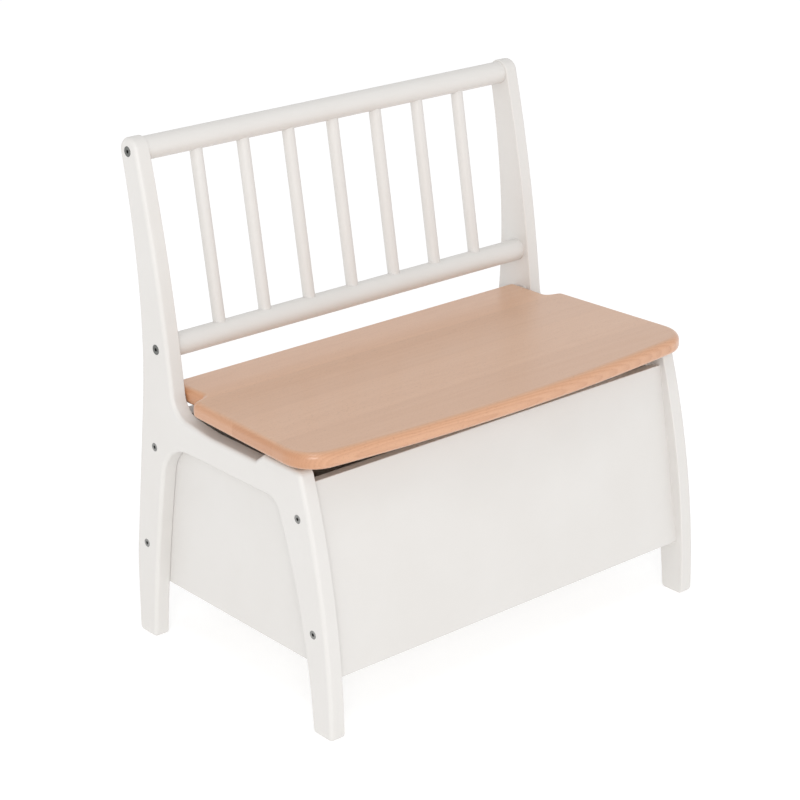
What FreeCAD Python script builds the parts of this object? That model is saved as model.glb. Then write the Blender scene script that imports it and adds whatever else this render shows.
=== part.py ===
import FreeCAD, Part
import math
import os
import re
import Sketcher

# Children's storage bench: two curved side frames carry a chest with leaning long sides,
# a spindle backrest and a hinged beech lid that is also the seat.
# X points right, +Z up, the front faces -Y, the origin is on the floor under the middle.

os.makedirs("parts", exist_ok=True)
doc = FreeCAD.newDocument("StorageBench")

# Driving dimensions, in millimetres and degrees.
SIZES = {
    # side frames
    "frame_width": 600.0,
    "frame_thick": 20.0,
    "frame_round": 5.0,
    "inner_round": 1.5,
    "foot_corner": 6.0,
    # rear post: back edge from the floor up, then the front edge above the seat
    "foot_back": 188.2,
    "foot_upright": 75.0,
    "heel_height": 128.0,
    "heel_inset": 3.3,
    "knee_back": 164.2,
    "knee_height": 306.0,
    "waist_back": 160.5,
    "waist_height": 440.0,
    "post_top_radius": 16.3,
    "crown_back_turn": 12.0,
    "crown_front_turn": 16.0,
    "seat_front": 103.8,
    "seat_height": 363.0,
    "root_front": 97.5,
    "root_height": 313.5,
    "root_round": 28.0,
    # top edge of the frame with its finger recess
    "recess_height": 306.0,
    "recess_back": 33.0,
    "recess_round": 200.0,
    "recess_end": -55.5,
    "step_end": -70.5,
    "step_round": 6.0,
    "frame_top": 317.5,
    "shoulder": -137.0,
    "shoulder_round": 8.0,
    # front leg and the arch between the legs
    "toe_front": -188.2,
    "toe_back": -154.0,
    "leg_front_bend": 1060.0,
    "leg_back_bend": 910.0,
    "arch_front": -91.6,
    "arch_front_round": 20.0,
    "arch_height": 271.0,
    "arch_rear": 116.8,
    "arch_rear_round": 50.0,
    "rear_leg_bend": 2300.0,
    "rear_foot_front": 154.4,
    # backrest
    "top_rail_back": 169.6,
    "top_rail_height": 617.5,
    "low_rail_back": 129.0,
    "low_rail_height": 387.2,
    "rail_radius": 14.1,
    "spindle_radius": 7.7,
    "spindle_pitch": 68.5,
    "spindle_depth": 12.0,
    "spindle_end_gap": 0.3,
    "glue_gap": 0.05,
    "end_room": 1.0,
    "overshoot": 2.0,
    # chest panels: front and back are the same board, feet of the boards outwards
    "panel_thick": 16.0,
    "panel_tall": 232.5,
    "panel_lean": 10.3,
    "panel_round": 1.0,
    "chest_middle": 3.5,
    "panel_out": 150.3,
    "panel_height": 183.6,
    "side_thick": 8.0,
    "side_low": 74.0,
    "side_high": 299.0,
    "side_gap": 0.2,
    "floor_thick": 6.0,
    "floor_height": 88.0,
    "groove_depth": 6.0,
    "groove_gap": 0.15,
    "floor_play": 1.5,
    # bolts through the side frames
    "head_radius": 5.2,
    "head_tall": 4.0,
    "rail_head_radius": 6.2,
    "bolt_radius": 3.0,
    "bolt_gap": 0.1,
    "panel_bolt_long": 52.0,
    "rail_bolt_long": 38.0,
    "socket_flat": 4.0,
    "socket_depth": 2.4,
    "upper_bolt": 78.1,
    "lower_bolt": -58.3,
    "nut_radius": 5.0,
    "nut_long": 13.0,
    "nut_inset": 28.0,
    "insert_radius": 5.0,
    "insert_long": 26.0,
    "dowel_radius": 4.0,
    "dowel_long": 30.0,
    "dowel_in_frame": 12.0,
    # screws that hold the side panels to the frames
    "screw_radius": 1.75,
    "screw_head": 3.6,
    "screw_head_tall": 2.0,
    "screw_long": 20.0,
    "screw_gap": 0.1,
    "screw_rail_height": 288.0,
    "screw_pitch": 55.0,
    "screw_leg_height": 130.0,
    "screw_leg_out": 145.5,
    # seat lid
    "lid_thick": 20.0,
    "lid_low": 321.4,
    "lid_back": 133.8,
    "tongue_half": 278.3,
    "tongue_round": 8.5,
    "notch_inner": 69.5,
    "notch_outer": 62.5,
    "notch_round": 5.0,
    "notch_corner": 10.0,
    "side_half": 298.9,
    "corner_half": 310.0,
    "corner_front": -157.5,
    "corner_round": 42.0,
    "front_bend": 2474.0,
    "lid_top_round": 8.0,
    "lid_low_round": 6.0,
    "lid_rise": 0.33,
    # hinge of the lid
    "hinge_back": 115.0,
    "hinge_height": 331.4,
    "pin_radius": 4.0,
    "pin_long": 38.0,
    "pin_in_lid": 25.0,
    "run_gap": 0.05,
    "bush_radius": 6.0,
    "bush_deep": 12.0,
    "flange_radius": 9.0,
    "flange_thick": 1.2,
    "bush_floor": 0.5,
    # rubber buffers under the front of the lid
    "buffer_front": -107.0,
    "buffer_radius": 5.0,
    "buffer_tall": 4.9,
    "stem_radius": 2.5,
    "stem_long": 8.0,
}

sheet = doc.addObject("Spreadsheet::Sheet", "Sizes")
for row, (alias, value) in enumerate(SIZES.items(), start=1):
    sheet.set("A%d" % row, alias.replace("_", " "))
    sheet.set("B%d" % row, str(value))
    sheet.setAlias("B%d" % row, alias)
doc.recompute()

LEFT = -1
RIGHT = 1
SIDES = {LEFT: "left", RIGHT: "right"}
LOW = -1
HIGH = 1
X_AXIS = FreeCAD.Vector(1, 0, 0)
Y_AXIS = FreeCAD.Vector(0, 1, 0)
Z_AXIS = FreeCAD.Vector(0, 0, 1)
INNER_X = "(frame_width / 2 - frame_thick)"
kept = []


# ---------------------------------------------------------------- sheet and naming helpers

def link(text):
    """Turns size names inside an expression into references to the sheet."""
    return re.sub("[a-z_]+", lambda word: word[0] if word[0] not in SIZES else "Sizes." + word[0], text)


def worth(text):
    """The number an expression of size names stands for."""
    return float(sheet.evalExpression(link(text)))


def bind(item, **values):
    """Binds properties to expressions; a double underscore in a name stands for a dot."""
    for name, text in values.items():
        item.setExpression(name.replace("__", "."), link(text))


def place(item, position, tilt):
    """Puts an item at three expressions, turned about the X axis by a fourth."""
    item.Placement = FreeCAD.Placement(FreeCAD.Vector(), FreeCAD.Rotation(X_AXIS, 1))
    bind(item, Placement__Base__x=position[0], Placement__Base__y=position[1],
         Placement__Base__z=position[2], Placement__Rotation__Angle=tilt)


def keep(label, item):
    """Registers a finished sub-part under the name of its file."""
    item.Label = label
    kept.append((label, item))


def signed(side, text):
    """An expression on the right of the middle plane, or its mirror image on the left."""
    return text if side == RIGHT else "-(%s)" % text


# ---------------------------------------------------------------- sketch helpers

def new_sketch(body, name, role, offset="0"):
    """A sketch on one of the body's own origin planes, moved along the plane's normal."""
    plane = [item for item in body.Origin.OriginFeatures if item.Role == role][0]
    sketch = body.newObject("Sketcher::SketchObject", name)
    sketch.AttachmentSupport = [(plane, "")]
    sketch.MapMode = "FlatFace"
    sketch.setExpression("AttachmentOffset.Base.z", link(offset))
    return sketch


def limit(sketch, text, kind, *places):
    """A sketch constraint whose value comes from the sheet."""
    index = sketch.addConstraint(Sketcher.Constraint(kind, *places, worth(text)))
    sketch.setExpression("Constraints[%d]" % index, link(text))


def pin_point(sketch, geometry, end, across=None, up=None):
    """Fixes the end of a sketch element across, up, or both ways from the sketch origin."""
    if across is not None:
        limit(sketch, across, "DistanceX", -1, 1, geometry, end)
    if up == "0":
        sketch.addConstraint(Sketcher.Constraint("PointOnObject", geometry, end, -1))
    elif up is not None:
        limit(sketch, up, "DistanceY", -1, 1, geometry, end)


def add_circles(sketch, places, radius):
    """Circles of one radius at pairs of expressions."""
    for across, up in places:
        centre = FreeCAD.Vector(worth(across), worth(up), 0)
        circle = sketch.addGeometry(Part.Circle(centre, Z_AXIS, worth(radius)))
        limit(sketch, radius, "Radius", circle)
        pin_point(sketch, circle, 3, across, up if abs(centre.y) > 1e-9 else "0")


def add_polygon(sketch, places):
    """A closed polygon through pairs of expressions."""
    points = [FreeCAD.Vector(worth(across), worth(up), 0) for across, up in places]
    lines = [sketch.addGeometry(Part.LineSegment(first, second))
             for first, second in zip(points, points[1:] + points[:1])]
    for line, following in zip(lines, lines[1:] + lines[:1]):
        sketch.addConstraint(Sketcher.Constraint("Coincident", line, 2, following, 1))
    for line, (across, up) in zip(lines, places):
        pin_point(sketch, line, 1, across, up)


def add_arc(sketch, start, middle, end):
    """An arc through three points; returns its index and the numbers of its two ends in travel order."""
    through = Part.Arc(start, middle, end).toShape().Curve
    centre = through.Center
    anticlockwise = (middle - start).cross(end - middle).z > 0
    first, last = (start, end) if anticlockwise else (end, start)
    angles = [math.atan2(point.y - centre.y, point.x - centre.x) for point in (first, last)]
    if angles[1] < angles[0]:
        angles[1] += 2 * math.pi
    arc = Part.ArcOfCircle(Part.Circle(centre, Z_AXIS, through.Radius), *angles)
    return sketch.addGeometry(arc), ((1, 2) if anticlockwise else (2, 1))


def add_outline(sketch, stations):
    """A closed outline of lines and arcs.

    A station is (name, across, up, bulge, smooth): where the piece before it ends and the next
    begins, how far the next piece bulges to the right of its chord (0 for a line), and whether
    the two pieces meet without a corner. Returns the pieces by the name of the station they
    start from.
    """
    points = [FreeCAD.Vector(worth(across), worth(up), 0) for _, across, up, _, _ in stations]
    pieces = []
    for (_, _, _, bulge, _), start, end in zip(stations, points, points[1:] + points[:1]):
        if bulge == 0:
            pieces.append((sketch.addGeometry(Part.LineSegment(start, end)), (1, 2)))
            continue
        chord = end - start
        sideways = FreeCAD.Vector(chord.y, -chord.x, 0).normalize()
        pieces.append(add_arc(sketch, start, (start + end) / 2 + sideways * bulge, end))
    for number, (_, _, _, _, smooth) in enumerate(stations):
        before, ends_before = pieces[number - 1]
        after, ends_after = pieces[number]
        kind = "Tangent" if smooth else "Coincident"
        sketch.addConstraint(Sketcher.Constraint(kind, before, ends_before[1], after, ends_after[0]))
    return {station[0]: piece for station, piece in zip(stations, pieces)}


# ---------------------------------------------------------------- body helpers

def new_body(name):
    return doc.addObject("PartDesign::Body", name)


def pad(body, name, sketch, length):
    item = body.newObject("PartDesign::Pad", name)
    item.Profile = sketch
    bind(item, Length=length)
    doc.recompute()


def cut(body, name, sketch, depth, reverse=False):
    """A pocket against the sketch's normal, or along it when reversed; it must remove material."""
    before = body.Shape.Volume
    item = body.newObject("PartDesign::Pocket", name)
    item.Profile = sketch
    item.Type = 0
    item.Reversed = reverse
    bind(item, Length=depth)
    doc.recompute()
    if body.Shape.Volume > before - 0.5:
        raise RuntimeError("%s removes nothing from %s" % (name, body.Name))


def round_off(body, name, targets, radius):
    """A fillet on named edges or faces of the body's last feature."""
    base = body.Tip
    item = body.newObject("PartDesign::Fillet", name)
    item.Base = (base, targets)
    bind(item, Radius=radius)
    doc.recompute()


def round_corners(body, name, places, direction, radius):
    """Rounds the straight edges along a direction that pass nearest the given points."""
    targets = []
    for place in places:
        distances = []
        for number, edge in enumerate(body.Shape.Edges, start=1):
            if edge.Curve.TypeId == "Part::GeomLine" and abs(edge.Curve.Direction.dot(direction)) > 0.999:
                distances.append((edge.distToShape(Part.Vertex(place))[0], number))
        targets.append("Edge%d" % min(distances)[1])
    round_off(body, name, targets, radius)


def round_faces(body, name, direction, levels, radius):
    """Rounds all edges of the largest flat face at each level along a direction."""
    targets = []
    for level in levels:
        areas = []
        for number, face in enumerate(body.Shape.Faces, start=1):
            flat = face.Surface.TypeId == "Part::GeomPlane"
            if flat and abs(face.CenterOfMass.dot(direction) - level) < 0.01:
                if abs(abs(face.normalAt(0, 0).dot(direction)) - 1) < 1e-6:
                    areas.append((face.Area, number))
        targets.append("Face%d" % max(areas)[1])
    round_off(body, name, targets, radius)


def cylinder(name, radius, length, start, turn):
    """A cylinder whose axis is the turned Z axis, from a start given by three expressions."""
    item = doc.addObject("Part::Cylinder", name)
    item.Placement = FreeCAD.Placement(FreeCAD.Vector(), turn)
    bind(item, Radius=radius, Height=length, Placement__Base__x=start[0],
         Placement__Base__y=start[1], Placement__Base__z=start[2])
    return item


def joined(name, *items):
    item = doc.addObject("Part::MultiFuse", name)
    item.Shapes = list(items)
    return item


def less(name, base, tool):
    item = doc.addObject("Part::Cut", name)
    item.Base = base
    item.Tool = tool
    return item


def group(name, items):
    """Several separate solids held under one name."""
    item = doc.addObject("Part::Compound", name)
    item.Links = items
    return item


# Turns that lay a cylinder's axis along X: inwards from each side frame, and outwards into it.
INWARDS = {LEFT: FreeCAD.Rotation(Y_AXIS, 90), RIGHT: FreeCAD.Rotation(Y_AXIS, -90)}
OUTWARDS = {LEFT: FreeCAD.Rotation(Y_AXIS, -90), RIGHT: FreeCAD.Rotation(Y_AXIS, 90)}


# ---------------------------------------------------------------- shared positions

def on_panel(front, along, inwards="0"):
    """The (Y, Z) of a point on a chest panel: along its slope from the centre, and inwards from it."""
    out = "(panel_out - %s * sin(panel_lean) - %s * cos(panel_lean))" % (along, inwards)
    up = "(panel_height + %s * cos(panel_lean) - %s * sin(panel_lean))" % (along, inwards)
    sign = "-" if front else "+"
    return "(chest_middle %s %s)" % (sign, out), up


def panel_bolts():
    """The (Y, Z) places of the four bolts that hold the panels to one frame."""
    return [on_panel(front, along) for front in (True, False) for along in ("upper_bolt", "lower_bolt")]


def panel_dowels():
    return [on_panel(front, "0") for front in (True, False)]


def rail_bolts():
    return [("top_rail_back", "top_rail_height"), ("low_rail_back", "low_rail_height")]


def screw_places():
    """The (Y, Z) places of the screws between a side panel and its frame."""
    places = [("(chest_middle + %d * screw_pitch)" % step, "screw_rail_height") for step in (-1, 0, 1)]
    places += [("(chest_middle + %d * screw_leg_out)" % step, "screw_leg_height") for step in (-1, 1)]
    return places


# ---------------------------------------------------------------- side frames

def frame_outline(sketch):
    """The outline of a side frame, seen from the right: Y across, Z up, anticlockwise.

    The bulges and the places of the sliding points are close first values; the tangencies, the
    crown's centre and the radii at the end settle them.
    """
    top = ("top_rail_back", "top_rail_height")
    stations = [
        ("rear foot front", "rear_foot_front", "0", 0, False),
        ("rear foot back", "foot_back", "0", 0, False),
        ("foot top", "foot_back", "foot_upright", 0.4, True),
        ("heel", "foot_back - heel_inset", "heel_height", 0, True),
        ("knee", "knee_back", "knee_height", -3, True),
        ("waist", "waist_back", "waist_height", -3.6, True),
        ("top back", "top_rail_back + post_top_radius * cos(crown_back_turn)",
         "top_rail_height - post_top_radius * sin(crown_back_turn)", 16.1, True),
        ("top front", "top_rail_back - post_top_radius * cos(crown_front_turn)",
         "top_rail_height + post_top_radius * sin(crown_front_turn)", 5.6, True),
        ("seat", "seat_front", "seat_height", 0, True),
        ("root", "root_front", "root_height", 0, False),
        ("recess back", "recess_back", "recess_height", 0, False),
        ("recess", "recess_end", "recess_height", 0, False),
        ("step", "step_end", "frame_top", 0, False),
        ("shoulder", "shoulder", "frame_top", 12, False),
        ("toe front", "toe_front", "0", 0, False),
        ("toe back", "toe_back", "0", -10.7, False),
        ("arch front", "arch_front", "arch_height", 0, False),
        ("arch rear", "arch_rear", "arch_height", -4, False),
    ]
    pieces = add_outline(sketch, stations)
    sliding = ("heel", "top back", "top front")
    for name, across, up, _, _ in stations:
        if name not in sliding:
            geometry, ends = pieces[name]
            pin_point(sketch, geometry, ends[0], across, up)
    heel, heel_ends = pieces["heel"]
    pin_point(sketch, heel, heel_ends[0], up="heel_height")
    crown = pieces["top back"][0]
    pin_point(sketch, crown, 3, *top)
    limit(sketch, "post_top_radius", "Radius", crown)
    for name, bend in (("shoulder", "leg_front_bend"), ("toe back", "leg_back_bend"),
                       ("arch rear", "rear_leg_bend")):
        limit(sketch, bend, "Radius", pieces[name][0])


def side_frame(side):
    """One side frame: the bent board, its rounded edges, and the holes for its fittings."""
    body = new_body(SIDES[side] + "_side_frame")
    outline = new_sketch(body, "Outline", "YZ_Plane",
                         "frame_width / 2 - frame_thick" if side == RIGHT else "-frame_width / 2")
    frame_outline(outline)
    pad(body, "Board", outline, "frame_thick")

    middle_x = side * worth("(frame_width - frame_thick) / 2")
    corners = (
        ("FootCorners", "foot_corner", (("rear_foot_front", "0"), ("foot_back", "0"),
                                        ("toe_front", "0"), ("toe_back", "0"))),
        ("StepCorners", "step_round", (("recess_end", "recess_height"), ("step_end", "frame_top"))),
        ("Shoulder", "shoulder_round", (("shoulder", "frame_top"),)),
        ("PostRoot", "root_round", (("root_front", "root_height"),)),
        ("RecessBack", "recess_round", (("recess_back", "recess_height"),)),
        ("ArchFront", "arch_front_round", (("arch_front", "arch_height"),)),
        ("ArchRear", "arch_rear_round", (("arch_rear", "arch_height"),)),
    )
    for name, radius, places in corners:
        points = [FreeCAD.Vector(middle_x, worth(across), worth(up)) for across, up in places]
        round_corners(body, name, points, X_AXIS, radius)
    round_faces(body, "OuterEdges", X_AXIS, (side * worth("frame_width / 2"),), "frame_round")
    round_faces(body, "InnerEdges", X_AXIS, (side * worth(INNER_X),), "inner_round")

    outer_face = signed(side, "frame_width / 2")
    inner_face = signed(side, INNER_X)
    from_outside = side == LEFT
    from_inside = side == RIGHT
    heads = new_sketch(body, "PanelHeads", "YZ_Plane", outer_face)
    add_circles(heads, panel_bolts(), "head_radius + bolt_gap")
    cut(body, "PanelHeadSeats", heads, "head_tall", from_outside)
    rail_heads = new_sketch(body, "RailHeads", "YZ_Plane", outer_face)
    add_circles(rail_heads, rail_bolts(), "rail_head_radius + bolt_gap")
    cut(body, "RailHeadSeats", rail_heads, "head_tall", from_outside)
    shanks = new_sketch(body, "Shanks", "YZ_Plane", outer_face)
    add_circles(shanks, panel_bolts() + rail_bolts(), "bolt_radius + bolt_gap")
    cut(body, "ShankHoles", shanks, "frame_thick + overshoot", from_outside)
    dowels = new_sketch(body, "Dowels", "YZ_Plane", inner_face)
    add_circles(dowels, panel_dowels(), "dowel_radius + glue_gap")
    cut(body, "DowelHoles", dowels, "dowel_in_frame + glue_gap", from_inside)
    screws = new_sketch(body, "Screws", "YZ_Plane", inner_face)
    add_circles(screws, screw_places(), "screw_radius + glue_gap")
    cut(body, "ScrewHoles", screws, "screw_long - side_thick + end_room", from_inside)
    bush = new_sketch(body, "Bush", "YZ_Plane", inner_face)
    add_circles(bush, [("hinge_back", "hinge_height")], "bush_radius + glue_gap")
    cut(body, "BushHole", bush, "bush_deep + glue_gap", from_inside)
    stem = new_sketch(body, "Stem", "XY_Plane", "frame_top")
    middle = signed(side, "(frame_width - frame_thick) / 2")
    add_circles(stem, [(middle, "buffer_front")], "stem_radius + glue_gap")
    cut(body, "StemHole", stem, "stem_long + glue_gap")
    keep(SIDES[side] + "_side_frame", body)


# ---------------------------------------------------------------- chest

def long_panel(name, front):
    """The front or back board of the chest, leaning inwards at the top.

    In the board's own frame X runs along it, Z up its slope and Y through its thickness;
    `inside` is the sign of Y on the face towards the chest.
    """
    inside = 1 if front else -1
    body = new_body(name)
    half = "panel_thick / 2"
    section = new_sketch(body, "Section", "YZ_Plane", "-" + INNER_X)
    add_polygon(section, [("-" + half, "-panel_tall / 2"), (half, "-panel_tall / 2"),
                          (half, "panel_tall / 2"), ("-" + half, "panel_tall / 2")])
    pad(body, "Board", section, "2 * " + INNER_X)
    edges = [FreeCAD.Vector(0, across * worth(half), up * worth("panel_tall / 2"))
             for across in (-1, 1) for up in (LOW, HIGH)]
    round_corners(body, "SoftEdges", edges, X_AXIS, "panel_round")

    # The floor's groove is level, so it is turned by the lean within the board.
    face = "%d * %s" % (inside, half)
    mouth_z = "(floor_height - groove_gap - panel_height) / cos(panel_lean) + %s * tan(panel_lean)" % half
    across_step = "%d * cos(panel_lean)" % inside
    wide = "(floor_thick + 2 * groove_gap)"
    groove_across = ["%s + overshoot * %s" % (face, across_step), "%s - groove_depth * %s" % (face, across_step)]
    groove_up = ["%s + overshoot * sin(panel_lean)" % mouth_z, "%s - groove_depth * sin(panel_lean)" % mouth_z]
    lift_across = " - %d * %s * sin(panel_lean)" % (inside, wide)
    lift_up = " + %s * cos(panel_lean)" % wide
    groove = new_sketch(body, "Groove", "YZ_Plane", INNER_X)
    add_polygon(groove, [(groove_across[0], groove_up[0]), (groove_across[1], groove_up[1]),
                         (groove_across[1] + lift_across, groove_up[1] + lift_up),
                         (groove_across[0] + lift_across, groove_up[0] + lift_up)])
    cut(body, "FloorGroove", groove, "2 * " + INNER_X)

    for side, word in SIDES.items():
        end = signed(side, INNER_X)
        bolts = new_sketch(body, word + "Bolts", "YZ_Plane", end)
        add_circles(bolts, [("0", "upper_bolt"), ("0", "lower_bolt")], "bolt_radius + bolt_gap")
        cut(body, word + "BoltHoles", bolts, "panel_bolt_long - frame_thick + head_tall + end_room", side == LEFT)
        dowel = new_sketch(body, word + "Dowel", "YZ_Plane", end)
        add_circles(dowel, [("0", "0")], "dowel_radius + glue_gap")
        cut(body, word + "DowelHole", dowel, "dowel_long - dowel_in_frame + glue_gap", side == LEFT)
    nuts = new_sketch(body, "Nuts", "XZ_Plane", "-" + face)
    nut_x = "(%s - nut_inset)" % INNER_X
    places = [(signed(side, nut_x), along) for side in SIDES for along in ("upper_bolt", "lower_bolt")]
    add_circles(nuts, places, "nut_radius + glue_gap")
    cut(body, "NutHoles", nuts, "nut_long", front)

    across, up = on_panel(front, "0")
    place(body, ("0", across, up), "%d * panel_lean" % -inside)
    keep(name, body)


def side_panel(side):
    """A side board of the chest, flat against the inner face of its frame, between the long panels."""
    body = new_body(SIDES[side] + "_side_panel")
    out = "(panel_out - (%s - panel_height) * tan(panel_lean) - panel_thick / 2 / cos(panel_lean) - side_gap)"
    corners = []
    for sign, height in ((-1, "side_low"), (1, "side_low"), (1, "side_high"), (-1, "side_high")):
        corners.append(("chest_middle + %d * %s" % (sign, out % height), height))
    outline = new_sketch(body, "Outline", "YZ_Plane",
                         INNER_X + " - side_thick" if side == RIGHT else "-" + INNER_X)
    add_polygon(outline, corners)
    pad(body, "Board", outline, "side_thick")
    inner_face = signed(side, INNER_X + " - side_thick")
    shanks = new_sketch(body, "Shanks", "YZ_Plane", inner_face)
    add_circles(shanks, screw_places(), "screw_radius + screw_gap")
    cut(body, "ShankHoles", shanks, "side_thick + overshoot", side == RIGHT)
    heads = new_sketch(body, "Heads", "YZ_Plane", inner_face)
    add_circles(heads, screw_places(), "screw_head + screw_gap")
    cut(body, "HeadSeats", heads, "screw_head_tall", side == RIGHT)
    keep(SIDES[side] + "_side_panel", body)


def floor_panel():
    """The chest's floor, let into grooves in the front and back panels."""
    body = new_body("floor_panel")
    reach = ("(panel_out - (floor_height - panel_height) * tan(panel_lean)"
             " - panel_thick / 2 / cos(panel_lean) + groove_depth - floor_play)")
    wide = "(%s - side_thick - side_gap)" % INNER_X
    outline = new_sketch(body, "Outline", "XY_Plane", "floor_height")
    add_polygon(outline, [("-" + wide, "chest_middle - " + reach), (wide, "chest_middle - " + reach),
                          (wide, "chest_middle + " + reach), ("-" + wide, "chest_middle + " + reach)])
    pad(body, "Board", outline, "floor_thick")
    keep("floor_panel", body)


# ---------------------------------------------------------------- backrest

REST_LEAN = "atan((top_rail_back - low_rail_back) / (top_rail_height - low_rail_height))"
SPINDLE_STEPS = (-3, -2, -1, 0, 1, 2, 3)


def rail(name, back, height, holes):
    """A round rail; `holes` tells on which side of it the spindles enter."""
    body = new_body(name)
    section = new_sketch(body, "Section", "YZ_Plane", "-" + INNER_X)
    add_circles(section, [("0", "0")], "rail_radius")
    pad(body, "Bar", section, "2 * " + INNER_X)
    spindles = new_sketch(body, "Spindles", "XY_Plane", "%d * rail_radius" % holes)
    places = [("%d * spindle_pitch" % step if step else "0", "0") for step in SPINDLE_STEPS]
    add_circles(spindles, places, "spindle_radius + glue_gap")
    cut(body, "SpindleHoles", spindles, "spindle_depth", holes == LOW)
    for side, word in SIDES.items():
        insert = new_sketch(body, word + "Insert", "YZ_Plane", signed(side, INNER_X))
        add_circles(insert, [("0", "0")], "insert_radius + glue_gap")
        cut(body, word + "InsertHole", insert, "insert_long + end_room", side == LEFT)
    place(body, ("0", back, height), "-" + REST_LEAN)
    keep(name, body)


def spindle(number, step):
    """One upright of the backrest, its ends sunk into blind holes in both rails."""
    root = "(rail_radius - spindle_depth + spindle_end_gap)"
    rise = "(top_rail_height - low_rail_height)"
    run = "(top_rail_back - low_rail_back)"
    item = doc.addObject("Part::Cylinder", "Spindle%d" % number)
    bind(item, Radius="spindle_radius", Height="sqrt(%s^2 + %s^2) - 2 * %s" % (rise, run, root))
    foot = ("%d * spindle_pitch" % step, "low_rail_back + %s * sin(%s)" % (root, REST_LEAN),
            "low_rail_height + %s * cos(%s)" % (root, REST_LEAN))
    place(item, foot, "-" + REST_LEAN)
    keep("spindle_%d" % number, item)


# ---------------------------------------------------------------- seat lid and hinge

def seat_lid():
    """The lid: a wide seat with a bowed front, and a narrower tongue between the rear posts."""
    body = new_body("seat_lid")
    outline = new_sketch(body, "Outline", "XY_Plane", "lid_low")
    right = [("tongue_half", "lid_back"), ("tongue_half", "notch_inner"), ("side_half", "notch_outer"),
             ("corner_half", "corner_front")]
    left = [("-" + across, up) for across, up in right]
    bow = worth("front_bend") - math.sqrt(worth("front_bend") ** 2 - worth("corner_half") ** 2)
    places = left + right[::-1]
    stations = [("place %d" % number, across, up, 0, False) for number, (across, up) in enumerate(places)]
    stations[3] = stations[3][:3] + (bow, False)
    pieces = add_outline(outline, stations)
    for name, across, up, _, _ in stations:
        geometry, ends = pieces[name]
        pin_point(outline, geometry, ends[0], across, up)
    limit(outline, "front_bend", "Radius", pieces["place 3"][0])
    pad(body, "Board", outline, "lid_thick")

    middle_z = worth("lid_low + lid_thick / 2")
    for name, (across, up), radius in (("TongueCorners", right[0], "tongue_round"),
                                       ("NotchCorners", right[1], "notch_round"),
                                       ("SideCorners", right[2], "notch_corner"),
                                       ("FrontCorners", right[3], "corner_round")):
        points = [FreeCAD.Vector(side * worth(across), worth(up), middle_z) for side in SIDES]
        round_corners(body, name, points, Z_AXIS, radius)
    round_faces(body, "TopEdge", Z_AXIS, (worth("lid_low + lid_thick"),), "lid_top_round")
    round_faces(body, "LowEdge", Z_AXIS, (worth("lid_low"),), "lid_low_round")
    for side, word in SIDES.items():
        pin = new_sketch(body, word + "Pin", "YZ_Plane", signed(side, "tongue_half"))
        add_circles(pin, [("hinge_back", "hinge_height")], "pin_radius + glue_gap")
        cut(body, word + "PinHole", pin, "pin_in_lid + end_room", side == LEFT)

    # Closed, the lid is turned a little about its hinge, so that its front is slightly higher.
    across = "(hinge_back - hinge_back * cos(lid_rise) - hinge_height * sin(lid_rise))"
    up = "(hinge_height + hinge_back * sin(lid_rise) - hinge_height * cos(lid_rise))"
    place(body, ("0", across, up), "-lid_rise")
    keep("seat_lid", body)


def hinge_pin(side):
    """A steel pin fixed in the end of the lid's tongue and turning in the post's bush."""
    start = signed(side, "(tongue_half - pin_in_lid)")
    item = cylinder(SIDES[side].title() + "Pin", "pin_radius", "pin_long",
                    (start, "hinge_back", "hinge_height"), OUTWARDS[side])
    keep(SIDES[side] + "_hinge_pin", item)


def hinge_bush(side):
    """A flanged bush in the post; the flange keeps the lid clear of the wood."""
    word = SIDES[side].title()
    inner = signed(side, INNER_X)
    flange_start = signed(side, "(%s - flange_thick)" % INNER_X)
    sleeve = cylinder(word + "Sleeve", "bush_radius", "bush_deep", (inner, "hinge_back", "hinge_height"),
                      OUTWARDS[side])
    flange = cylinder(word + "Flange", "flange_radius", "flange_thick",
                      (flange_start, "hinge_back", "hinge_height"), OUTWARDS[side])
    bore = cylinder(word + "BushBore", "pin_radius + run_gap", "flange_thick + bush_deep - bush_floor",
                    (flange_start, "hinge_back", "hinge_height"), OUTWARDS[side])
    keep(SIDES[side] + "_hinge_bush", less(word + "Bush", joined(word + "BushBlank", sleeve, flange), bore))


def lid_buffers():
    """Rubber buffers on the frames, each with a stem sunk into the wood."""
    buffers = []
    for side in SIDES:
        word = SIDES[side].title()
        middle = signed(side, "(frame_width - frame_thick) / 2")
        head = cylinder(word + "Pad", "buffer_radius", "buffer_tall",
                        (middle, "buffer_front", "frame_top"), FreeCAD.Rotation())
        stem = cylinder(word + "PadStem", "stem_radius", "stem_long + glue_gap",
                        (middle, "buffer_front", "frame_top - stem_long"), FreeCAD.Rotation())
        buffers.append(joined(word + "Buffer", head, stem))
    keep("lid_buffers", group("LidBuffers", buffers))


# ---------------------------------------------------------------- fasteners

def hex_socket(name, centre, side):
    """The hexagonal recess in a bolt head centred at (Y, Z)."""
    item = doc.addObject("Part::Prism", name)
    item.Polygon = 6
    item.Placement = FreeCAD.Placement(FreeCAD.Vector(), INWARDS[side])
    bind(item, Circumradius="socket_flat / 2 / cos(30)", Height="socket_depth",
         Placement__Base__x=signed(side, "frame_width / 2"), Placement__Base__y=centre[0],
         Placement__Base__z=centre[1])
    return item


def bolts(label, places, side, head, length):
    """Socket-head bolts whose heads are level with the outer face of a side frame."""
    solids = []
    for number, centre in enumerate(places):
        name = "%s%d" % (label.title().replace("_", ""), number)
        outer = (signed(side, "frame_width / 2"),) + centre
        cap = cylinder(name + "Head", head, "head_tall", outer, INWARDS[side])
        shank = cylinder(name + "Shank", "bolt_radius", length, outer, INWARDS[side])
        socket = hex_socket(name + "Socket", centre, side)
        solids.append(less(name, joined(name + "Blank", cap, shank), socket))
    return solids


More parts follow.
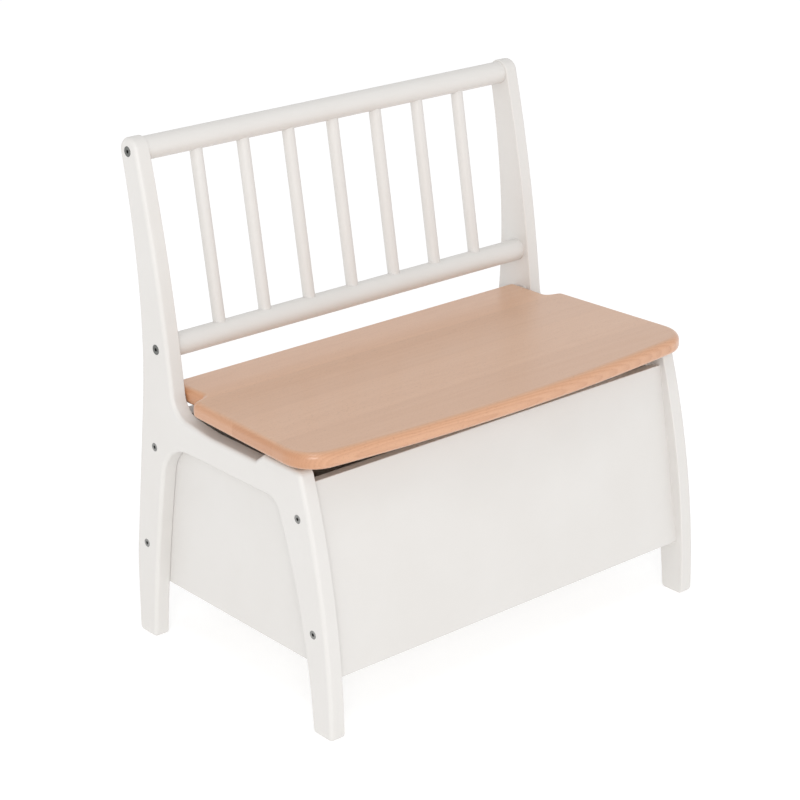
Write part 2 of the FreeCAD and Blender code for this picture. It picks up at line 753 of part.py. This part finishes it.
def rail_inserts(rail_name, centre):
    """Threaded sleeves in the two ends of one rail."""
    solids = []
    for side, word in SIDES.items():
        name = rail_name.title() + word.title()
        end = (signed(side, INNER_X),) + centre
        sleeve = cylinder(name + "Sleeve", "insert_radius", "insert_long", end, INWARDS[side])
        thread = cylinder(name + "Thread", "bolt_radius + glue_gap", "insert_long", end, INWARDS[side])
        solids.append(less(name + "Insert", sleeve, thread))
    return solids


def barrel_nuts(front):
    """The cross nuts that the panel bolts screw into, let in from inside the chest."""
    word = "Front" if front else "Back"
    turn = FreeCAD.Rotation(X_AXIS, (-1 if front else 1) * (90 + worth("panel_lean")))
    start = "(panel_thick / 2 - nut_long + glue_gap)"
    solids = []
    for side in SIDES:
        for along in ("upper_bolt", "lower_bolt"):
            name = "%s%s%s" % (word, SIDES[side].title(), along.split("_")[0].title())
            nut_x = signed(side, "(%s - nut_inset)" % INNER_X)
            back, height = on_panel(front, along, start)
            bolt_back, bolt_height = on_panel(front, along)
            block = cylinder(name + "Barrel", "nut_radius", "nut_long - glue_gap", (nut_x, back, height), turn)
            thread_start = signed(side, "(%s - nut_inset + nut_radius + overshoot)" % INNER_X)
            thread = cylinder(name + "Thread", "bolt_radius + glue_gap", "2 * (nut_radius + overshoot)",
                              (thread_start, bolt_back, bolt_height), INWARDS[side])
            solids.append(less(name + "Nut", block, thread))
    return solids


def dowels():
    """Wooden pins that locate the ends of the long panels in the frames."""
    solids = []
    for side, word in SIDES.items():
        for number, centre in enumerate(panel_dowels()):
            start = (signed(side, "(%s + dowel_in_frame)" % INNER_X),) + centre
            solids.append(cylinder("%sDowel%d" % (word.title(), number), "dowel_radius", "dowel_long",
                                   start, INWARDS[side]))
    return solids


def side_screws(side):
    """Flat-headed screws from inside the chest through a side panel into its frame."""
    solids = []
    for number, centre in enumerate(screw_places()):
        name = "%sScrew%d" % (SIDES[side].title(), number)
        start = (signed(side, "(%s - side_thick)" % INNER_X),) + centre
        head = cylinder(name + "Head", "screw_head", "screw_head_tall", start, OUTWARDS[side])
        shank = cylinder(name + "Shank", "screw_radius", "screw_long", start, OUTWARDS[side])
        solids.append(joined(name, head, shank))
    return solids


# ---------------------------------------------------------------- assembly

for side in SIDES:
    side_frame(side)
long_panel("front_panel", True)
long_panel("back_panel", False)
for side in SIDES:
    side_panel(side)
floor_panel()
rail("top_rail", "top_rail_back", "top_rail_height", LOW)
rail("lower_rail", "low_rail_back", "low_rail_height", HIGH)
for number, step in enumerate(SPINDLE_STEPS, start=1):
    spindle(number, step)
seat_lid()
for side, word in SIDES.items():
    hinge_pin(side)
    hinge_bush(side)
    keep(word + "_panel_bolts", group(word + "PanelBolts",
                                      bolts(word + "_panel_bolt_", panel_bolts(), side, "head_radius",
                                            "panel_bolt_long")))
    keep(word + "_rail_bolts", group(word + "RailBolts",
                                     bolts(word + "_rail_bolt_", rail_bolts(), side, "rail_head_radius",
                                           "rail_bolt_long")))
    keep(word + "_panel_screws", group(word + "PanelScrews", side_screws(side)))
lid_buffers()
keep("rail_inserts", group("RailInserts", rail_inserts("Top", rail_bolts()[0])
                           + rail_inserts("Lower", rail_bolts()[1])))
keep("barrel_nuts", group("BarrelNuts", barrel_nuts(True) + barrel_nuts(False)))
keep("panel_dowels", group("PanelDowels", dowels()))
doc.recompute()

for item in doc.Objects:
    if "Invalid" in item.State or "Error" in item.State:
        raise RuntimeError("%s did not compute: %s" % (item.Label, item.State))
for label, item in kept:
    if item.Shape.isNull() or not item.Shape.isValid():
        raise RuntimeError("%s has no valid shape" % label)
    item.Shape.exportStep("parts/%s.step" % label)
print("%d sub-parts written" % len(kept))
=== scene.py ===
import math

import bpy
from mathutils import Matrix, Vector


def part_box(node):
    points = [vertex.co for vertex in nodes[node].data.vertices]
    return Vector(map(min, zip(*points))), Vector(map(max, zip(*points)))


# A children's storage bench: white lacquered frames, panels, rails and spindles, and an oiled
# beech lid that is also the seat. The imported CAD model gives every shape; this script gives the
# materials, the light and the camera.

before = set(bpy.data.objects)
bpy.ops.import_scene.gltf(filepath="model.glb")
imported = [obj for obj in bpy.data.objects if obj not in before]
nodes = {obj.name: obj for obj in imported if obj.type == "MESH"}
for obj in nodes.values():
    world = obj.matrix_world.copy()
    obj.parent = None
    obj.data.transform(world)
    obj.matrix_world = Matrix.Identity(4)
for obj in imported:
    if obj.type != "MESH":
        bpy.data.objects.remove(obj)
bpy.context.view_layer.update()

# The lid, as glued up: where its underside and front edge lie, how wide a stave is, how far apart
# the year rings are, how deep most staves' log centres lie and how the front stave's log slants.
LID_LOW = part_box("seat_lid")[0][2]
LID_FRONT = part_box("seat_lid")[0][1]
STAVE = 0.0785
RING = 0.0036
FRONT_RING = 0.0031
LOG_DEPTH = 0.055
LOG_SLANT = 0.055

# Linear colours.
PAINT = (0.700, 0.682, 0.660)
PAINT_SHADE = (0.685, 0.665, 0.640)
PAINT_FIBRE = (0.650, 0.628, 0.600)
BEECH_PALE = (0.640, 0.392, 0.250)
BEECH_STREAK = (0.580, 0.328, 0.195)
BEECH_DEEP = (0.500, 0.265, 0.150)
BEECH_FLECK = (0.330, 0.160, 0.080)
# Facing tints for the lid: painted light that keeps the top paler than the edges as a painted sheen and
# darkens the ends as painted shade, with end grain's own redder tone in the end tint.
EDGE_PAINTED_LIGHT_TINT = (1.03, 0.935, 0.86)
END_GRAIN_AND_PAINTED_SHADE_TINT = (0.90, 0.76, 0.64)


# ---------------------------------------------------------------- node helpers

class Graph:
    """A material's node tree with short calls for the nodes used here."""

    def __init__(self, name):
        self.material = bpy.data.materials.new(name)
        self.material.use_nodes = True
        self.tree = self.material.node_tree
        self.tree.nodes.clear()
        self.output = self.tree.nodes.new("ShaderNodeOutputMaterial")
        self.shader = self.tree.nodes.new("ShaderNodeBsdfPrincipled")
        self.join(self.shader.outputs["BSDF"], self.output.inputs["Surface"])
        coordinates = self.tree.nodes.new("ShaderNodeTexCoord")
        self.place = coordinates.outputs["Object"]
        self.facing = coordinates.outputs["Normal"]

    def join(self, source, target):
        self.tree.links.new(source, target)

    def feed(self, value, socket):
        """Puts a constant on a socket, or links another node's output to it."""
        if isinstance(value, bpy.types.NodeSocket):
            self.join(value, socket)
        else:
            socket.default_value = value

    def set(self, **values):
        """Sets the shader's own sockets; an underscore stands for a space."""
        for name, value in values.items():
            self.feed(value, self.shader.inputs[name.replace("_", " ")])

    def math(self, operation, first, second=0.0, third=0.0, clamp=False):
        node = self.tree.nodes.new("ShaderNodeMath")
        node.operation = operation
        node.use_clamp = clamp
        for value, socket in zip((first, second, third), node.inputs):
            self.feed(value, socket)
        return node.outputs["Value"]

    def vector(self, operation, first, second):
        node = self.tree.nodes.new("ShaderNodeVectorMath")
        node.operation = operation
        self.feed(first, node.inputs[0])
        self.feed(second, node.inputs[1])
        return node.outputs["Vector"]

    def split(self, vector):
        node = self.tree.nodes.new("ShaderNodeSeparateXYZ")
        self.join(vector, node.inputs["Vector"])
        return node.outputs["X"], node.outputs["Y"], node.outputs["Z"]

    def merge(self, x, y, z):
        node = self.tree.nodes.new("ShaderNodeCombineXYZ")
        for value, socket in zip((x, y, z), node.inputs):
            self.feed(value, socket)
        return node.outputs["Vector"]

    def noise(self, vector, scale, detail=2.0, roughness=0.5, distortion=0.0):
        node = self.tree.nodes.new("ShaderNodeTexNoise")
        self.join(vector, node.inputs["Vector"])
        node.inputs["Scale"].default_value = scale
        node.inputs["Detail"].default_value = detail
        node.inputs["Roughness"].default_value = roughness
        node.inputs["Distortion"].default_value = distortion
        return node.outputs["Fac"]

    def random(self, value):
        node = self.tree.nodes.new("ShaderNodeTexWhiteNoise")
        node.noise_dimensions = "1D"
        self.feed(value, node.inputs["W"])
        return node.outputs["Value"]

    def ramp(self, factor, stops):
        node = self.tree.nodes.new("ShaderNodeValToRGB")
        self.join(factor, node.inputs["Fac"])
        elements = node.color_ramp.elements
        while len(elements) < len(stops):
            elements.new(0.5)
        for element, (position, colour) in zip(elements, stops):
            element.position = position
            element.color = colour + (1.0,) if len(colour) == 3 else colour
        return node.outputs["Color"]

    def spread(self, factor, low, high, to_low=0.0, to_high=1.0):
        """Maps a range of one value to another range, clamped."""
        node = self.tree.nodes.new("ShaderNodeMapRange")
        self.join(factor, node.inputs["Value"])
        for name, value in (("From Min", low), ("From Max", high), ("To Min", to_low), ("To Max", to_high)):
            node.inputs[name].default_value = value
        return node.outputs["Result"]

    def mix(self, factor, first, second, blend="MIX"):
        node = self.tree.nodes.new("ShaderNodeMix")
        node.data_type = "RGBA"
        node.blend_type = blend
        self.feed(factor, node.inputs["Factor"])
        self.feed(first, node.inputs["A"])
        self.feed(second, node.inputs["B"])
        return node.outputs["Result"]

    def bump(self, height, distance, strength, onto=None):
        node = self.tree.nodes.new("ShaderNodeBump")
        node.inputs["Strength"].default_value = strength
        node.inputs["Distance"].default_value = distance
        self.join(height, node.inputs["Height"])
        if onto is not None:
            self.join(onto, node.inputs["Normal"])
        return node.outputs["Normal"]


def rgba(red, green, blue):
    return (red, green, blue, 1.0)


# ---------------------------------------------------------------- materials

def white_lacquer(name, along):
    """Satin white lacquer over wood whose grain runs along one axis, and still shows a little."""
    graph = Graph(name)
    stretch = {"x": (0.06, 1.0, 1.0), "y": (1.0, 0.06, 1.0), "z": (1.0, 1.0, 0.06)}[along]
    fibres = graph.noise(graph.vector("MULTIPLY", graph.place, stretch), 900.0, 3.0, 0.6)
    peel = graph.noise(graph.place, 420.0, 2.0, 0.5)
    cloud = graph.noise(graph.place, 9.0, 3.0, 0.55)
    colour = graph.mix(graph.spread(cloud, 0.35, 0.65), rgba(*PAINT), rgba(*PAINT_SHADE))
    colour = graph.mix(graph.spread(fibres, 0.30, 0.70, 0.0, 0.10), colour, rgba(*PAINT_FIBRE))
    graph.set(Base_Color=colour, Roughness=graph.spread(cloud, 0.3, 0.7, 0.34, 0.42), IOR=1.47)
    normal = graph.bump(fibres, 0.00006, 0.5)
    graph.set(Normal=graph.bump(peel, 0.00008, 0.5, normal))
    return graph.material


def beech(name):
    """Clear-finished beech glued up from staves that run along X.

    Each stave has its own place in a log, so the rings run straight on the top and bend on the
    ends. The front stave was sawn beside its log's centre, and its rings run straight along the
    left of the bowed front edge and form nested flames on the right. Fine dark flecks run with
    the grain.
    """
    graph = Graph(name)
    x, y, z = graph.split(graph.place)
    stave = graph.math("FLOOR", graph.math("DIVIDE", graph.math("SUBTRACT", y, LID_FRONT), STAVE))
    front_stave = graph.math("LESS_THAN", stave, 0.5)
    chance = graph.random(graph.math("ADD", stave, 3.7))
    other = graph.random(graph.math("ADD", stave, 11.3))

    # Rings round a far centre line for most staves.
    sway = graph.noise(graph.merge(x, stave, 0.0), 3.2, 1.0, 0.4)
    sway = graph.math("MULTIPLY", graph.math("SUBTRACT", sway, 0.5), 0.05)
    far_y = graph.math("MULTIPLY_ADD", stave, STAVE, graph.math("MULTIPLY_ADD", chance, 0.05, LID_FRONT))
    far_y = graph.math("ADD", graph.math("SUBTRACT", y, far_y), sway)
    far_z = graph.math("ADD", graph.math("SUBTRACT", z, LID_LOW - LOG_DEPTH), sway)
    far = graph.math("SQRT", graph.math("ADD", graph.math("MULTIPLY", far_y, far_y),
                                        graph.math("MULTIPLY", far_z, far_z)))
    far = graph.math("DIVIDE", far, RING)

    # Rings round a centre line in front of the bowed edge, which turns away from it to the right.
    wave = graph.noise(graph.merge(x, 0.0, 4.0), 7.0, 1.0, 0.4)
    wave = graph.math("MULTIPLY", graph.math("SUBTRACT", wave, 0.5), 0.006)
    near_y = graph.math("MULTIPLY_ADD", x, LOG_SLANT, graph.math("SUBTRACT", y, LID_FRONT - 0.009))
    near_z = graph.math("ADD", graph.math("SUBTRACT", z, LID_LOW + 0.009), wave)
    near = graph.math("SQRT", graph.math("ADD", graph.math("MULTIPLY", near_y, near_y),
                                         graph.math("MULTIPLY", near_z, near_z)))
    near = graph.math("DIVIDE", near, FRONT_RING)

    wobble = graph.noise(graph.vector("MULTIPLY", graph.place, (0.12, 1.0, 1.0)), 70.0, 2.0, 0.5)
    rings = graph.math("ADD", graph.math("MULTIPLY", far, graph.math("SUBTRACT", 1.0, front_stave)),
                       graph.math("MULTIPLY", near, front_stave))
    saw = graph.math("FRACT", graph.math("ADD", rings, graph.math("MULTIPLY", wobble, 0.9)))
    late = graph.math("MULTIPLY", graph.spread(saw, 0.25, 0.90), graph.spread(saw, 1.0, 0.88))

    fine = graph.noise(graph.vector("MULTIPLY", graph.place, (0.03, 1.0, 1.0)), 1300.0, 2.0, 0.6)
    streak = graph.noise(graph.vector("MULTIPLY", graph.place, (0.018, 1.0, 1.0)), 150.0, 3.0, 0.6)
    cloud = graph.noise(graph.vector("MULTIPLY", graph.place, (0.35, 1.0, 1.0)), 22.0, 2.0, 0.5)
    fleck = graph.noise(graph.vector("MULTIPLY", graph.place, (0.22, 1.0, 1.0)), 1400.0, 0.0, 0.5)
    fleck = graph.spread(fleck, 0.66, 0.74)

    # Lines show more on the long edges than on the sanded top; end grain is calmer. The edges and ends are
    # tinted warmer and darker than the top. On the ends this is partly end grain's own redder tone. The rest
    # is painted light: the top is kept paler than the edges as a painted sheen, and the ends are darkened as
    # painted shade.
    out_x, _, out_z = graph.split(graph.facing)
    edge = graph.spread(graph.math("ABSOLUTE", out_z), 0.99, 0.72)
    end = graph.spread(graph.math("ABSOLUTE", out_x), 0.35, 0.85)
    strength = graph.math("MULTIPLY_ADD", edge, 0.46, 0.10)
    strength = graph.math("MULTIPLY", strength, graph.math("MULTIPLY_ADD", end, -0.60, 1.0))
    pale = rgba(*BEECH_PALE)
    colour = graph.mix(graph.math("MULTIPLY", late, strength), pale, rgba(*BEECH_DEEP))
    colour = graph.mix(graph.spread(streak, 0.35, 0.70, 0.0, 0.28), colour, rgba(*BEECH_STREAK))
    colour = graph.mix(graph.spread(fine, 0.40, 0.75, 0.0, 0.22), colour, rgba(*BEECH_DEEP))
    colour = graph.mix(graph.spread(cloud, 0.35, 0.65, 0.0, 0.16), colour, rgba(*BEECH_STREAK))
    colour = graph.mix(graph.math("MULTIPLY", fleck, 0.30), colour, rgba(*BEECH_FLECK))
    tints = [(0.0, (0.955, 0.940, 0.930)), (0.5, (1.0, 1.0, 1.0)), (1.0, (1.03, 1.01, 0.99))]
    colour = graph.mix(1.0, colour, graph.ramp(other, tints), "MULTIPLY")
    end_tints = [(0.0, (0.88, 0.80, 0.72)), (1.0, (1.04, 1.06, 1.08))]
    colour = graph.mix(end, colour, graph.mix(1.0, colour, graph.ramp(chance, end_tints), "MULTIPLY"))
    # Painted sheen and shade: the colour is tinted by which way the surface faces, with end grain's own
    # redder tone mixed in on the ends.
    grain_and_painted_light_tint = graph.mix(edge, rgba(1.0, 1.0, 1.0), graph.mix(end, rgba(*EDGE_PAINTED_LIGHT_TINT), rgba(*END_GRAIN_AND_PAINTED_SHADE_TINT)))
    colour = graph.mix(1.0, colour, grain_and_painted_light_tint, "MULTIPLY")
    graph.set(Base_Color=colour, Roughness=graph.spread(streak, 0.3, 0.7, 0.28, 0.36), IOR=1.50,
              Coat_Weight=0.70, Coat_Roughness=0.30)
    normal = graph.bump(fine, 0.00004, 0.4)
    graph.set(Normal=graph.bump(fleck, 0.00005, 0.4, normal))
    return graph.material


def metal(name, colour, rough, metallic=1.0):
    """Machined steel with turning marks and handling marks."""
    graph = Graph(name)
    marks = graph.noise(graph.place, 2600.0, 2.0, 0.6)
    cloud = graph.noise(graph.place, 300.0, 2.0, 0.5)
    darker = rgba(*[channel * 0.7 for channel in colour])
    graph.set(Base_Color=graph.mix(graph.spread(cloud, 0.35, 0.65), rgba(*colour), darker), Metallic=metallic,
              Roughness=graph.spread(marks, 0.3, 0.7, rough - 0.05, rough + 0.08))
    graph.set(Normal=graph.bump(marks, 0.00003, 0.5))
    return graph.material


def moulded(name, colour, rough):
    """Plain moulded plastic or rubber with a fine texture."""
    graph = Graph(name)
    grain = graph.noise(graph.place, 1800.0, 2.0, 0.5)
    cloud = graph.noise(graph.place, 80.0, 2.0, 0.5)
    darker = rgba(*[channel * 0.88 for channel in colour])
    graph.set(Base_Color=graph.mix(graph.spread(cloud, 0.35, 0.65), rgba(*colour), darker),
              Roughness=graph.spread(grain, 0.3, 0.7, rough - 0.05, rough + 0.05), IOR=1.46)
    graph.set(Normal=graph.bump(grain, 0.00005, 0.5))
    return graph.material


def dress(material, *names):
    """Gives CAD nodes a finished material."""
    for name in names:
        slots = nodes[name].data.materials
        slots.clear()
        slots.append(material)


lacquer_up = white_lacquer("white_lacquer_upright", "z")
lacquer_long = white_lacquer("white_lacquer_long", "x")
lacquer_side = white_lacquer("white_lacquer_side", "y")
dress(lacquer_up, "left_side_frame", "right_side_frame", *["spindle_%d" % n for n in range(1, 8)])
dress(lacquer_long, "front_panel", "back_panel", "top_rail", "lower_rail", "floor_panel")
dress(lacquer_side, "left_side_panel", "right_side_panel")
dress(beech("beech"), "seat_lid")
dress(metal("nickelled_steel", (0.33, 0.33, 0.32), 0.36), "left_panel_bolts", "right_panel_bolts")
dress(metal("dark_steel", (0.20, 0.205, 0.195), 0.36), "left_rail_bolts", "right_rail_bolts")
dress(metal("zinc_steel", (0.58, 0.58, 0.57), 0.32), "left_panel_screws", "right_panel_screws",
      "rail_inserts", "barrel_nuts", "left_hinge_pin", "right_hinge_pin")
dress(moulded("white_nylon", (0.72, 0.71, 0.69), 0.45), "left_hinge_bush", "right_hinge_bush")
dress(moulded("grey_rubber", (0.40, 0.39, 0.38), 0.60), "lid_buffers")
dress(beech("plain_beech"), "panel_dowels")


# ---------------------------------------------------------------- floor, light and camera

FLOOR_GLOW = 0.52
SURROUND = 0.92
OVERHEAD = 0.68
KEY = 176.0
TOP_LIGHT = 36.0


def studio_floor():
    """A pale, evenly lit floor without an edge in view; it glows a little, as a light table does."""
    bpy.ops.mesh.primitive_plane_add(size=40.0, location=(0.0, 0.0, 0.0))
    floor = bpy.context.object
    floor.name = "floor"
    graph = Graph("pale_floor")
    cloud = graph.noise(graph.place, 3.0, 2.0, 0.5)
    graph.set(Base_Color=graph.mix(cloud, rgba(0.60, 0.60, 0.60), rgba(0.62, 0.62, 0.62)), Roughness=0.9,
              Emission_Color=rgba(1.0, 1.0, 1.0), Emission_Strength=FLOOR_GLOW)
    graph.shader.inputs["Specular IOR Level"].default_value = 0.0
    floor.data.materials.append(graph.material)


def area_light(name, position, target, across, power):
    lamp = bpy.data.lights.new(name, "AREA")
    lamp.shape = "DISK"
    lamp.size = across
    lamp.energy = power
    item = bpy.data.objects.new(name, lamp)
    item.location = position
    item.rotation_euler = (Vector(target) - Vector(position)).to_track_quat("-Z", "Y").to_euler()
    bpy.context.scene.collection.objects.link(item)


def studio_light():
    """An even white surround that dims overhead, a large soft light beside the camera and one above."""
    world = bpy.data.worlds.new("studio")
    world.use_nodes = True
    tree = world.node_tree
    background = tree.nodes["Background"]
    background.inputs["Color"].default_value = (1.0, 1.0, 1.0, 1.0)
    direction = tree.nodes.new("ShaderNodeSeparateXYZ")
    tree.links.new(tree.nodes.new("ShaderNodeTexCoord").outputs["Generated"], direction.inputs["Vector"])
    height = tree.nodes.new("ShaderNodeMapRange")
    tree.links.new(direction.outputs["Z"], height.inputs["Value"])
    for name, value in (("From Min", 0.0), ("From Max", 1.0), ("To Min", SURROUND), ("To Max", OVERHEAD)):
        height.inputs[name].default_value = value
    tree.links.new(height.outputs["Result"], background.inputs["Strength"])
    bpy.context.scene.world = world
    area_light("key", (-4.6, -5.4, 3.05), (0.0, 0.0, 0.35), 3.2, KEY)
    area_light("top_light", (-1.5, -1.7, 5.65), (0.0, 0.0, 0.35), 1.8, TOP_LIGHT)


def camera():
    """A long lens that looks down on the front left corner."""
    azimuth = math.radians(-40.88)
    elevation = math.radians(21.68)
    target = Vector((-0.054, -0.0225, 0.3057))
    distance = 2.8
    back = Vector((math.sin(azimuth) * math.cos(elevation), -math.cos(azimuth) * math.cos(elevation),
                   math.sin(elevation)))
    lens = bpy.data.cameras.new("camera")
    lens.lens = 105.11
    lens.sensor_width = 36.0
    item = bpy.data.objects.new("camera", lens)
    item.location = target + back * distance
    item.rotation_euler = (-back).to_track_quat("-Z", "Y").to_euler()
    bpy.context.scene.collection.objects.link(item)
    bpy.context.scene.camera = item


studio_floor()
studio_light()
camera()
bpy.context.scene.view_settings.view_transform = "Standard"
